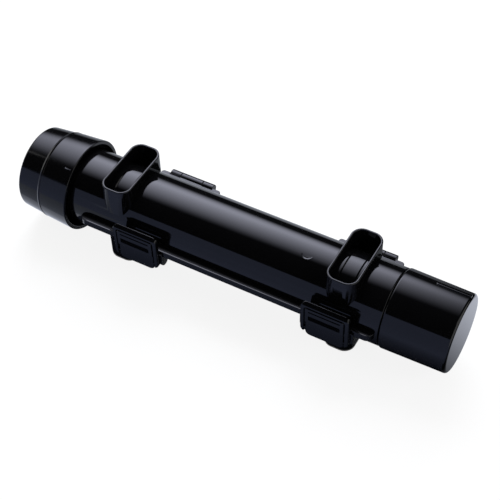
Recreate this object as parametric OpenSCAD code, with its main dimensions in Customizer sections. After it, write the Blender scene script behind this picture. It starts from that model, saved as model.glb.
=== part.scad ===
// Rice mould press: a tube split into two hinged half shells, closed by two latches,
// with a plunger at one end and a plug-in cap at the other.
// Each module is drawn about the tube's axis, which lies along X with the knob at -X,
// and placed() then stands the lower feet on the plane z = 0.

/* [Tube] */
// Outer diameter of the closed tube
tube_d = 52; // [48:0.5:56]
// Wall of the half shells
tube_wall = 2.2; // [1.6:0.1:3]
// Length of the shells between the knob's rim and the cap's mouth
tube_len = 226.8; // [200:0.5:250]
// Length of the closed neck ring inside the knob
neck_len = 13; // [10:0.5:14]
// Diameter of the dimple where the upper shell's moulding gate was
gate_d = 4.6; // [3:0.2:6]

/* [Seam flange] */
// Width of each flange beyond the tube
flange_w = 4.9; // [4:0.1:6]
// Thickness of one flange
flange_t = 2.4; // [1.8:0.1:3]
// Distance from the knob's rim to the flange
flange_start = 10.8; // [6:0.2:16]
// Distance from the flange to the cap's mouth
flange_stop = 2.4; // [2:0.2:8]
// Corner radius of the flange ends
flange_r = 5; // [1:0.25:6]

/* [Feet] */
// Height of a foot's rim above the tube's axis
foot_h = 33; // [32.5:0.5:38]
// Length of a foot across the tube
foot_l = 47; // [40:0.5:48]
// Width of a foot along the tube
foot_w = 21.2; // [18:0.2:26]
// Outer corner radius of a foot
foot_r = 7.7; // [5:0.1:8.5]
// Wall of a foot
foot_wall = 1.6; // [1.2:0.1:2.4]
// Distance between the two feet of a shell
foot_pitch = 162; // [150:1:170]
// Offset of the feet from the middle of the shells
foot_shift = 3.2; // [0:0.2:6]

/* [Latches and hinges] */
// Distance between the two latches
latch_pitch = 136.9; // [128:0.1:140]
// Offset of the latches from the middle of the shells
latch_shift = 12.9; // [8:0.1:16]
// Width of a latch plate
latch_w = 33; // [28:0.2:36]
// Height of a latch above the seam
latch_top = 15.2; // [13:0.2:17]
// Depth of a latch below the seam
latch_drop = 14.2; // [13:0.2:16]
// Thickness of a latch plate at its frame
latch_t = 3.2; // [2.8:0.1:4]
// Height of the latch's wide slot
latch_slot_h = 4; // [2.6:0.1:4.2]
// Height of the latch's narrow slot
latch_slit_h = 1.2; // [0.8:0.1:1.6]
// Depth of the latch's pivot below the seam
pivot_drop = 8; // [7.6:0.1:8.6]
// Diameter of the latch pins
latch_pin_d = 2.5; // [2:0.1:2.8]
// Thickness of a latch ear
ear_t = 2.5; // [2:0.1:3]
// Wall left at the closed end of a pin's bore
pin_stop = 1; // [0.6:0.1:1.4]
// Distance between the two hinges
hinge_pitch = 135.4; // [128:0.1:140]
// Offset of the hinges from the middle of the shells
hinge_shift = 13.7; // [8:0.1:16]
// Length of a hinge barrel
hinge_len = 33; // [28:0.5:36]
// Outer diameter of a hinge barrel
hinge_d = 7; // [6.4:0.1:7.6]
// Diameter of the hinge pins
hinge_pin_d = 3; // [2.4:0.1:3.4]
// Length of the widened flange at a hinge
tab_len = 46; // [42:0.2:50]
// Width that the flange gains at a hinge
tab_w = 3.4; // [2.6:0.1:3.8]

/* [Knob] */
// Outer diameter at the knob's open rim
knob_rim_d = 64.2; // [62:0.2:65]
// Outer diameter of the skirt at the knob's seam
knob_seam_d = 61.2; // [60:0.2:62]
// Outer diameter at the knob's closed end
knob_end_d = 57; // [54:0.2:58]
// Length of the knob's skirt
skirt_len = 21.3; // [20:0.1:26]
// Length of the knob's cap
knob_cap_len = 18.7; // [14:0.1:22]
// Wall of the knob
knob_wall = 2.5; // [2:0.1:3]
// Step from the skirt down to the knob's cap
knob_step = 0.5; // [0.2:0.1:1]
// Edge radius at the knob's closed end
knob_edge_r = 1.2; // [1:0.1:3]

/* [Plunger] */
// Length of the spigot that closes the tube behind the rim
spigot_len = 8; // [6:0.5:10]
// Width across the ribs of the rod
rod_w = 16; // [12:0.5:18]
// Thickness of the rod's ribs
rod_rib = 2.4; // [1.8:0.1:3]
// Number of stiffening discs on the rod
rod_discs = 4; // [2:1:6]
// Diameter of the rod's core
core_d = 7; // [6:0.2:8]
// Diameter of the screw that holds the rod
screw_d = 3.6; // [3:0.1:4]
// Length of the piston
piston_len = 11; // [9:0.5:14]
// Wall of the piston
piston_wall = 2.4; // [2:0.1:3]

/* [End cap] */
// Length of the cap beyond the shells
cap_len = 44.2; // [36:0.2:50]
// Step from the tube up to the cap's mouth
cap_step = 0.6; // [0.2:0.1:1.2]
// Radius that the cap loses along its length
cap_taper = 0.6; // [0.4:0.1:1.6]
// Wall of the cap
cap_wall = 2.4; // [2:0.1:3]
// Edge radius at the cap's closed end
cap_edge_r = 0.8; // [0.6:0.1:2]
// Length of the cap's plug inside the tube
plug_len = 14; // [10:0.5:18]
// Length of the grip ribs on the cap
grip_len = 24; // [16:0.5:30]
// Width of a grip rib
grip_w = 3.4; // [2.4:0.1:4.5]
// Height of a grip rib
grip_h = 0.8; // [0.4:0.1:1.2]

/* [Fits] */
// Gap between faces that move past each other
gap = 0.3; // [0.25:0.01:0.4]
// Radial clearance of a pin in its bore
pin_gap = 0.05; // [0.02:0.01:0.08]

/* [Hidden] */
$fn = 96;
// Margin by which a cutting tool runs past a face
cut = 1;

// Tube
tube_r = tube_d / 2;
bore_r = tube_r - tube_wall;
overall = knob_cap_len + skirt_len + tube_len + cap_len;
seam_x = knob_cap_len - overall / 2;
rim_x = seam_x + skirt_len;
mouth_x = rim_x + tube_len;
end_x = mouth_x + cap_len;
shell_mid = (rim_x + mouth_x) / 2;
shell_end = mouth_x - gap;
// The gate dimple lies between the feet, a little to the latch side of the crown
gate_x = rim_x + 0.743 * tube_len;
gate_angle = 13;
gate_depth = 0.35;

// Flanges and feet
flange_out = tube_r + flange_w;
flange_x0 = rim_x + flange_start;
flange_x1 = mouth_x - flange_stop;
foot_x = [for (side = [-1, 1]) shell_mid + foot_shift + side * foot_pitch / 2];

// Latches and hinges along the tube
latch_x = [for (side = [-1, 1]) shell_mid + latch_shift + side * latch_pitch / 2];
hinge_x = [for (side = [-1, 1]) shell_mid + hinge_shift + side * hinge_pitch / 2];

// Hinge: its axis lies in the plane of the seam, so the open shell lies level
tab_out = flange_out + tab_w;
hinge_r = hinge_d / 2;
hinge_y = tab_out + 1.1;
knuckle_mid = hinge_len / 2;
knuckle_end = hinge_len / 4;
tab_r = 2;

// Latch: the ears stand flush just outside the flange, and the plate passes before them
ear_out = flange_out + 1.1;
pivot_r = 3.6;
pivot_y = -(ear_out - pivot_r);
barrel_r = pivot_r - 1.1;
ear_x1 = latch_w / 2 + 1.7;
ear_x0 = ear_x1 - ear_t;
plate_in = ear_out + gap;
plate_out = plate_in + latch_t;
// Grooves divide the latch's arch-shaped frame from its panel, and the thumb pad lies a little
// behind both
frame_w = 2.4;
frame_r = 3.6;
frame_drop = latch_drop - 2.6;
frame_back = 0.4;
groove_w = 0.9;
groove_deep = 1.8;
groove_drop = 9;
panel_x = latch_w / 2 - frame_w - groove_w;
panel_top = latch_top - frame_w - groove_w;
panel_r = 1.6;
pad_back = 0.8;
pad_top = -1.4;
slot_z = 3.7;
slit_z = 9.3;
slot_len = latch_w - 11.4;
catch_w = 3;
catch_h = 2;

// The hinge and the latches set how far the part reaches to either side
axis_y = (plate_out - (hinge_y + hinge_r)) / 2;

// Knob and plunger
knob_rim_r = knob_rim_d / 2;
knob_seam_r = knob_seam_d / 2;
knob_end_r = knob_end_d / 2;
spigot_r = bore_r - gap;
spigot_wall = 2;
web_t = 2.5;
web_x = rim_x - neck_len - gap;
recess_r = knob_seam_r - knob_wall;
lip_wall = 2;
lip_len = web_x - web_t - seam_x - 0.5;
// The raised dash that marks the knob's position
mark_len = 5;
mark_w = 1.5;
mark_h = 0.5;
mark_angle = 30;

rod_head_r = 9;
rod_head_t = 2.5;
rod_disc_t = 1.8;
core_r = core_d / 2;
screw_r = screw_d / 2;
screw_bite = 14;
screw_head_r = 4;
screw_head_t = 2.6;

// The piston rests just short of the cap's plug
plug_x = shell_end - plug_len;
piston_front = plug_x - 4;
piston_back = piston_front - piston_len;
piston_r = bore_r - gap;
socket_r = 5;
socket_len = piston_len - piston_wall;
socket_wall = 2.4;

// End cap
cap_mouth_r = tube_r + cap_step;
cap_end_r = cap_mouth_r - cap_taper;
plug_r = bore_r - gap;
plug_wall = 2.2;
grip_angle = 66;

shell_black = [0.035, 0.035, 0.04];
latch_black = [0.05, 0.05, 0.055];
knob_black = [0.03, 0.03, 0.035];
pin_steel = [0.72, 0.72, 0.74];

// Points of an arc in the plane, from angle a0 to a1
function arc(centre, r, a0, a1, steps = 6) =
    [for (i = [0:steps]) let (a = a0 + (a1 - a0) * i / steps) centre + r * [cos(a), sin(a)]];

// Stands the part on its lower feet, with its box centred over the origin
module placed() {
    translate([0, axis_y, foot_h]) children();
}

// Turns a profile of [radius, x] points about the tube's axis
module revolve_x() {
    rotate([0, 90, 0]) rotate_extrude() children();
}

// Extrudes a [y, z] outline along the tube from x0 to x1
module extrude_x(x0, x1) {
    translate([x0, 0, 0]) rotate([90, 0, 90]) linear_extrude(x1 - x0) children();
}

// Extrudes an [x, z] outline towards the latches, from depth y0 to y1
module extrude_front(y0, y1) {
    translate([0, -y0, 0]) rotate([90, 0, 0]) linear_extrude(y1 - y0) children();
}

// A rod of radius r along the tube, at y and z, from x0 to x1
module bar_x(r, x0, x1, y = 0, z = 0) {
    translate([x0, y, z]) rotate([0, 90, 0]) cylinder(r = r, h = x1 - x0);
}

module tube_x(outer, inner, x0, x1) {
    difference() {
        bar_x(outer, x0, x1);
        bar_x(inner, x0 - cut, x1 + cut);
    }
}

module round_rect(x0, x1, y0, y1, r) {
    translate([x0 + r, y0]) square([x1 - x0 - 2 * r, y1 - y0]);
    translate([x0, y0 + r]) square([x1 - x0, y1 - y0 - 2 * r]);
    for (x = [x0 + r, x1 - r], y = [y0 + r, y1 - r]) translate([x, y]) circle(r = r);
}

// Half of the tube on the side z > 0, with both flanges and the hinge tabs, not yet bored
module half_body(x0) {
    intersection() {
        bar_x(tube_r, x0, shell_end);
        translate([x0, -tube_r, 0]) cube([shell_end - x0, 2 * tube_r, tube_r]);
    }
    linear_extrude(flange_t) {
        round_rect(flange_x0, flange_x1, -flange_out, flange_out, flange_r);
        for (x = hinge_x) round_rect(x - tab_len / 2, x + tab_len / 2, 0, tab_out, tab_r);
    }
}

// One racetrack foot standing over the crown of the tube
module foot(x) {
    translate([x, 0, 0]) linear_extrude(foot_h) difference() {
        round_rect(-foot_w / 2, foot_w / 2, -foot_l / 2, foot_l / 2, foot_r);
        round_rect(foot_wall - foot_w / 2, foot_w / 2 - foot_wall,
            foot_wall - foot_l / 2, foot_l / 2 - foot_wall, foot_r - foot_wall);
    }
}

// Half shell on the side z > 0: knuckles is a list of [x0, x1] hinge stretches it carries,
// reliefs those that the other shell carries
module half_shell(x0, knuckles, reliefs) {
    difference() {
        union() {
            difference() {
                union() {
                    half_body(x0);
                    for (x = foot_x) foot(x);
                }
                for (s = reliefs) bar_x(hinge_r + gap, s[0] - gap, s[1] + gap, hinge_y);
            }
            for (s = knuckles) bar_x(hinge_r, s[0], s[1], hinge_y);
        }
        bar_x(bore_r, rim_x - neck_len - cut, mouth_x + cut);
        for (x = hinge_x)
            bar_x(hinge_pin_d / 2 + pin_gap, x - knuckle_mid - cut, x + knuckle_mid - pin_stop, hinge_y);
    }
}

// Hinge stretches: the upper shell has the middle of each barrel, the lower shell both ends
upper_knuckles = [for (x = hinge_x) [x - knuckle_end, x + knuckle_end]];
lower_knuckles = [for (x = hinge_x, side = [-1, 1])
    let (inner = x + side * (knuckle_end + gap), outer = x + side * knuckle_mid)
    [min(inner, outer), max(inner, outer)]];

// The two ears that carry one latch, hanging from the lower flange
module latch_ears(x) {
    for (side = [-1, 1])
        translate([x + side * (ear_x0 + ear_x1) / 2, 0, 0])
            extrude_x(-ear_t / 2, ear_t / 2) {
                translate([pivot_y, -pivot_drop]) circle(r = pivot_r);
                translate([-ear_out, -pivot_drop]) square([ear_out - bore_r + tube_wall / 2, pivot_drop]);
            }
}

module lower_shell() {
    color(shell_black) placed() difference() {
        union() {
            mirror([0, 0, 1]) half_shell(rim_x - neck_len, lower_knuckles, upper_knuckles);
            tube_x(tube_r, bore_r, rim_x - neck_len, rim_x);
            for (x = latch_x) latch_ears(x);
        }
        bar_x(bore_r, rim_x - neck_len - cut, mouth_x + cut);
        for (x = latch_x)
            bar_x(latch_pin_d / 2 + pin_gap, x - ear_x1 - cut, x + ear_x1 - pin_stop, pivot_y, -pivot_drop);
    }
}

module upper_shell() {
    color(shell_black) placed() difference() {
        half_shell(rim_x + gap, upper_knuckles, lower_knuckles);
        rotate([gate_angle, 0, 0]) translate([gate_x, 0, tube_r - gate_depth])
            cylinder(d = gate_d, h = cut);
    }
}

module hinge_pin(x) {
    color(pin_steel) placed() bar_x(hinge_pin_d / 2, x - knuckle_mid, x + knuckle_mid - pin_stop, hinge_y);
}

module hinge_pin_left() { hinge_pin(hinge_x[0]); }

module hinge_pin_right() { hinge_pin(hinge_x[1]); }

// A latch: a frame round a panel with two slots and a thumb pad below, on a barrel that
// turns between the ears
module latch(x) {
    color(latch_black) placed() translate([x, 0, 0]) difference() {
        union() {
            difference() {
                extrude_front(plate_in, plate_out - frame_back)
                    round_rect(-latch_w / 2, latch_w / 2, -frame_drop, latch_top, frame_r);
                extrude_front(plate_out - groove_deep, plate_out + cut)
                    round_rect(-panel_x - groove_w, panel_x + groove_w,
                        -2 * latch_drop, panel_top + groove_w, panel_r + groove_w);
            }
            extrude_front(plate_in, plate_out - pad_back) {
                round_rect(-panel_x, panel_x, -latch_drop, 0, frame_r);
                translate([-panel_x - groove_w - cut, -frame_drop + frame_r])
                    square([2 * (panel_x + groove_w + cut), frame_drop - frame_r - groove_drop + 2]);
            }
            extrude_front(plate_in, plate_out)
                round_rect(-panel_x, panel_x, pad_top, panel_top, panel_r);
            // Two catches stand over the upper flange, just outside its edge
            for (side = [-1, 1])
                extrude_front(flange_out + gap, plate_in + cut)
                    translate([side * (slot_len + catch_w + 1) / 2 - catch_w / 2, flange_t + gap])
                        square([catch_w, catch_h]);
            bar_x(barrel_r, gap - ear_x0, ear_x0 - gap, pivot_y, -pivot_drop);
            extrude_front(-pivot_y, plate_in + cut)
                translate([gap - ear_x0, -pivot_drop - barrel_r])
                    square([2 * (ear_x0 - gap), 2 * barrel_r]);
        }
        extrude_front(plate_in - cut, plate_out + cut) {
            translate([-slot_len / 2, slot_z - latch_slot_h / 2]) square([slot_len, latch_slot_h]);
            translate([-slot_len / 2, slit_z - latch_slit_h / 2]) square([slot_len, latch_slit_h]);
        }
        bar_x(latch_pin_d / 2 + pin_gap, -latch_w, latch_w, pivot_y, -pivot_drop);
    }
}

module latch_left() { latch(latch_x[0]); }

module latch_right() { latch(latch_x[1]); }

module latch_pin(x) {
    color(pin_steel) placed()
        bar_x(latch_pin_d / 2, x - ear_x1, x + ear_x1 - pin_stop, pivot_y, -pivot_drop);
}

module latch_pin_left() { latch_pin(latch_x[0]); }

module latch_pin_right() { latch_pin(latch_x[1]); }

// A rounded rib along the cap, its round end towards the mouth
module grip_rib() {
    translate([0, 0, cap_end_r - cap_wall / 2]) linear_extrude(cap_wall + cap_taper + grip_h) {
        translate([end_x - grip_len + grip_w / 2, 0]) circle(d = grip_w);
        translate([end_x - grip_len + grip_w / 2, -grip_w / 2])
            square([grip_len - grip_w / 2 - cap_edge_r, grip_w]);
    }
}

module end_cap() {
    color(shell_black) placed() {
        revolve_x() polygon(concat(
            [[0, end_x - cap_wall], [0, end_x]],
            arc([cap_end_r - cap_edge_r, end_x - cap_edge_r], cap_edge_r, 90, 0),
            [[cap_mouth_r, mouth_x], [plug_r, mouth_x], [plug_r, plug_x], [plug_r - plug_wall, plug_x],
                [plug_r - plug_wall, mouth_x + cap_wall], [cap_mouth_r - cap_wall, mouth_x + cap_wall],
                [cap_end_r - cap_wall, end_x - cap_wall]]));
        intersection() {
            for (turn = [0, 180]) rotate([grip_angle - 90 + turn, 0, 0]) grip_rib();
            revolve_x() polygon([[cap_end_r - cap_wall / 2, mouth_x], [cap_mouth_r + grip_h, mouth_x],
                [cap_end_r + grip_h, end_x], [cap_end_r - cap_wall / 2, end_x]]);
        }
    }
}

// Skirt of the knob: open towards the tube, with a web, a spigot into the bore
// and a recess behind the web for the knob's cap
module knob_skirt() {
    rim_edge = 0.7;
    color(knob_black) placed() {
        revolve_x() polygon(concat(
            [[screw_r + gap, web_x - web_t], [recess_r, web_x - web_t], [recess_r, seam_x],
                [knob_seam_r, seam_x]],
            arc([knob_rim_r - rim_edge, rim_x - rim_edge], rim_edge, 0, 90, 4),
            [[knob_rim_r - knob_wall, rim_x], [knob_seam_r - knob_wall, web_x], [spigot_r, web_x],
                [spigot_r, rim_x + spigot_len], [spigot_r - spigot_wall, rim_x + spigot_len],
                [spigot_r - spigot_wall, web_x], [screw_r + gap, web_x]]));
        rotate([mark_angle, 0, 0]) translate([rim_x - 2 - mark_len, -mark_w / 2, knob_rim_r - knob_wall / 2])
            cube([mark_len, mark_w, knob_wall / 2 + mark_h - (knob_rim_r - knob_seam_r) * 4.5 / skirt_len]);
    }
}

module knob_cap() {
    cap_r = knob_seam_r - knob_step;
    lip_r = recess_r - gap / 2;
    closed_x = seam_x - knob_cap_len;
    color(knob_black) placed() revolve_x() polygon(concat(
        [[0, closed_x + knob_wall], [0, closed_x]],
        arc([knob_end_r - knob_edge_r, closed_x + knob_edge_r], knob_edge_r, -90, 0),
        [[cap_r, seam_x], [lip_r, seam_x], [lip_r, seam_x + lip_len], [lip_r - lip_wall, seam_x + lip_len],
            [lip_r - lip_wall, seam_x], [knob_end_r - knob_wall, closed_x + knob_wall]]));
}

// Rod of the plunger: four ribs about a core, with discs, a head on the web
// and a stub that seats in the piston
module push_rod() {
    stub_x = piston_back + socket_len - gap;
    step = (piston_back - web_x) / (rod_discs + 1);
    color(shell_black) placed() difference() {
        union() {
            bar_x(rod_head_r, web_x, web_x + rod_head_t);
            bar_x(core_r, web_x, piston_back);
            bar_x(socket_r, piston_back - cut, stub_x);
            for (turn = [0, 90]) rotate([turn, 0, 0])
                translate([web_x, -rod_w / 2, -rod_rib / 2]) cube([piston_back - web_x, rod_w, rod_rib]);
            for (i = [1:rod_discs])
                bar_x(rod_w / 2, web_x + i * step - rod_disc_t / 2, web_x + i * step + rod_disc_t / 2);
            bar_x(rod_w / 2, piston_back - rod_disc_t, piston_back);
        }
        bar_x(screw_r + pin_gap, web_x - cut, web_x + screw_bite + gap);
    }
}

module rod_screw() {
    head_x = web_x - web_t;
    color(pin_steel) placed() difference() {
        union() {
            bar_x(screw_head_r, head_x - screw_head_t, head_x);
            bar_x(screw_r, head_x, web_x + screw_bite);
        }
        for (turn = [0, 90]) rotate([turn, 0, 0])
            translate([head_x - screw_head_t - cut, -2.4, -0.4]) cube([cut + 1.4, 4.8, 0.8]);
    }
}

module piston() {
    rim_in = piston_r - piston_wall;
    color(shell_black) placed() revolve_x() polygon([
        [0, piston_front], [0, piston_front - piston_wall],
        [socket_r + pin_gap, piston_front - piston_wall], [socket_r + pin_gap, piston_back],
        [socket_r + socket_wall, piston_back], [socket_r + socket_wall, piston_front - piston_wall],
        [rim_in, piston_front - piston_wall], [rim_in, piston_back],
        [piston_r, piston_back], [piston_r, piston_front]]);
}

lower_shell();
upper_shell();
hinge_pin_left();
hinge_pin_right();
latch_left();
latch_right();
latch_pin_left();
latch_pin_right();
end_cap();
knob_skirt();
knob_cap();
push_rod();
rod_screw();
piston();
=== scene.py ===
"""Studio scene of a rice mould press: a hinged tube with latches, a plunger knob and an end cap.

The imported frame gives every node. Each sub-assembly is built in millimetres about the tube's
axis and then placed in the frame, in metres.
"""

import logging
import math
from collections.abc import Callable, Iterable, Sequence
from dataclasses import dataclass
from enum import Enum

import bmesh
import bpy
from mathutils import Matrix, Vector

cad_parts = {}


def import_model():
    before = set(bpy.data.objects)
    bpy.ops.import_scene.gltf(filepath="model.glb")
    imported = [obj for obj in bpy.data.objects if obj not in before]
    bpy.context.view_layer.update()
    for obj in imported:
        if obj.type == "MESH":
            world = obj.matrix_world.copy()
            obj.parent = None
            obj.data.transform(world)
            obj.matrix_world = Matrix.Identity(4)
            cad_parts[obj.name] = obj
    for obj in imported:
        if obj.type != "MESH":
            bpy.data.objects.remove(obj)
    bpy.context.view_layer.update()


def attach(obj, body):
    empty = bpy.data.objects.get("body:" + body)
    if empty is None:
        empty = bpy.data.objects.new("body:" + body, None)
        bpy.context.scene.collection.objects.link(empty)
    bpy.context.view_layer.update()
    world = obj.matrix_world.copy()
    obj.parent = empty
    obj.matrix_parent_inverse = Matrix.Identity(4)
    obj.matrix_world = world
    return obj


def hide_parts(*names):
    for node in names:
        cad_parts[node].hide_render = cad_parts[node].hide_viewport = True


LOG = logging.getLogger("rice_mould_press")

MM = 0.001
FULL_TURN = 2.0 * math.pi
SHARP_ANGLE = math.radians(38.0)
TINY = 0.0005

Point = tuple[float, float]
Corner = tuple[float, float, float]
Span = tuple[float, float]


class Body(Enum):
    """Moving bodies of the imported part."""

    BASE = "base"
    LID = "lid"
    LEFT_LATCH = "left_latch"
    RIGHT_LATCH = "right_latch"
    CAP = "cap"
    PLUNGER = "plunger"


class Slot(Enum):
    """Material slots of the record."""

    SHELL = "shell_plastic"
    LATCH = "latch_plastic"
    KNOB = "knob_plastic"
    PIN = "pin_steel"


class Side(Enum):
    """The two stations of feet, hinges and latches along the tube."""

    LEFT = 0
    RIGHT = 1


class Plane(Enum):
    """Planes in which an outline is drawn, with the way it is extruded."""

    PLAN = "x and y, extruded up"
    FRONT = "x and z, extruded towards the latches"
    SECTION = "y and z, extruded along the tube"

    def at(self, u: float, v: float, depth: float) -> Vector:
        """Places a point of the outline in space.

        Args:
            u: First coordinate in the plane.
            v: Second coordinate in the plane.
            depth: Distance along the extrusion.

        Returns:
            The point in space.
        """
        if self is Plane.PLAN:
            return Vector((u, v, depth))
        if self is Plane.FRONT:
            return Vector((u, -depth, v))
        return Vector((depth, u, v))


class Carving(Enum):
    """Ways in which one solid changes another."""

    JOIN = "UNION"
    CUT = "DIFFERENCE"


@dataclass(frozen=True)
class Layout:
    """Places that several sub-assemblies share, in millimetres about the tube's axis.

    The axis runs along X with the knob at -X, and the seam lies in the plane z = 0.
    """

    closed_x: float = -155.5
    seam_x: float = -136.8
    rim_x: float = -115.5
    mouth_x: float = 111.3
    end_x: float = 155.5
    neck_len: float = 13.0
    gap: float = 0.3
    pin_gap: float = 0.05
    tube_r: float = 26.0
    bore_r: float = 23.8
    flange_out: float = 30.9
    flange_t: float = 2.4
    hinge_y: float = 35.4
    ear_out: float = 32.0
    pivot_y: float = -28.4
    pivot_z: float = -8.0
    pivot_r: float = 3.6
    ear_x1: float = 18.2
    ear_t: float = 2.5
    pin_stop: float = 1.0
    foot_xs: Span = (-79.9, 82.1)
    latch_xs: Span = (-57.65, 79.25)
    hinge_xs: Span = (-56.1, 79.3)
    axis_y: float = -1.7
    axis_z: float = 33.0

    @property
    def shell_end(self) -> float:
        """End of the shells, a gap short of the cap."""
        return self.mouth_x - self.gap

    @property
    def web_x(self) -> float:
        """Face of the web inside the knob."""
        return self.rim_x - self.neck_len - self.gap

    def to_frame(self) -> Matrix:
        """Returns the matrix from millimetres about the axis to metres in the frame."""
        place = Matrix.Translation(Vector((0.0, self.axis_y, self.axis_z)) * MM)
        return place @ Matrix.Scale(MM, 4)


# ----------------------------------------------------------------------------- shapes


def rounded(corners: Sequence[Corner], step: float = 9.0) -> list[Point]:
    """Rounds the corners of a closed outline.

    Args:
        corners: First and second coordinate and radius of each corner.
        step: Largest angle of one chord, in degrees.

    Returns:
        The outline's points.
    """
    points: list[Point] = []
    for index, (u, v, radius) in enumerate(corners):
        here = Vector((u, v))
        if radius <= 0.0:
            points.append((u, v))
            continue
        before = (Vector(corners[index - 1][:2]) - here).normalized()
        after = (Vector(corners[(index + 1) % len(corners)][:2]) - here).normalized()
        half = before.angle(after) / 2.0
        centre = here + (before + after).normalized() * (radius / math.sin(half))
        first = here + before * (radius / math.tan(half)) - centre
        last = here + after * (radius / math.tan(half)) - centre
        start = math.atan2(first.y, first.x)
        sweep = (math.atan2(last.y, last.x) - start + math.pi) % FULL_TURN - math.pi
        count = max(2, math.ceil(abs(math.degrees(sweep)) / step))
        for k in range(count + 1):
            angle = start + sweep * k / count
            points.append((centre.x + radius * math.cos(angle), centre.y + radius * math.sin(angle)))
    return points


def arc(radius: float, half_angle: float, step: float = 2.0) -> list[Point]:
    """Points of an arc about the origin, over the crown from side to side.

    Args:
        radius: The arc's radius.
        half_angle: How far it reaches to each side of the crown, in degrees.
        step: Largest angle of one chord, in degrees.

    Returns:
        The arc's points.
    """
    count = max(2, math.ceil(2.0 * half_angle / step))
    turns = [math.radians(half_angle * (2.0 * k / count - 1.0)) for k in range(count + 1)]
    return [(radius * math.sin(turn), radius * math.cos(turn)) for turn in turns]


def rounded_box(us: Span, vs: Span, radius: float, step: float = 9.0) -> list[Point]:
    """Outline of a rectangle with rounded corners.

    Args:
        us: Range of the first coordinate.
        vs: Range of the second coordinate.
        radius: Corner radius.
        step: Largest angle of one chord, in degrees.

    Returns:
        The outline's points.
    """
    corners = [(us[0], vs[0]), (us[1], vs[0]), (us[1], vs[1]), (us[0], vs[1])]
    return rounded([(u, v, radius) for u, v in corners], step)


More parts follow.
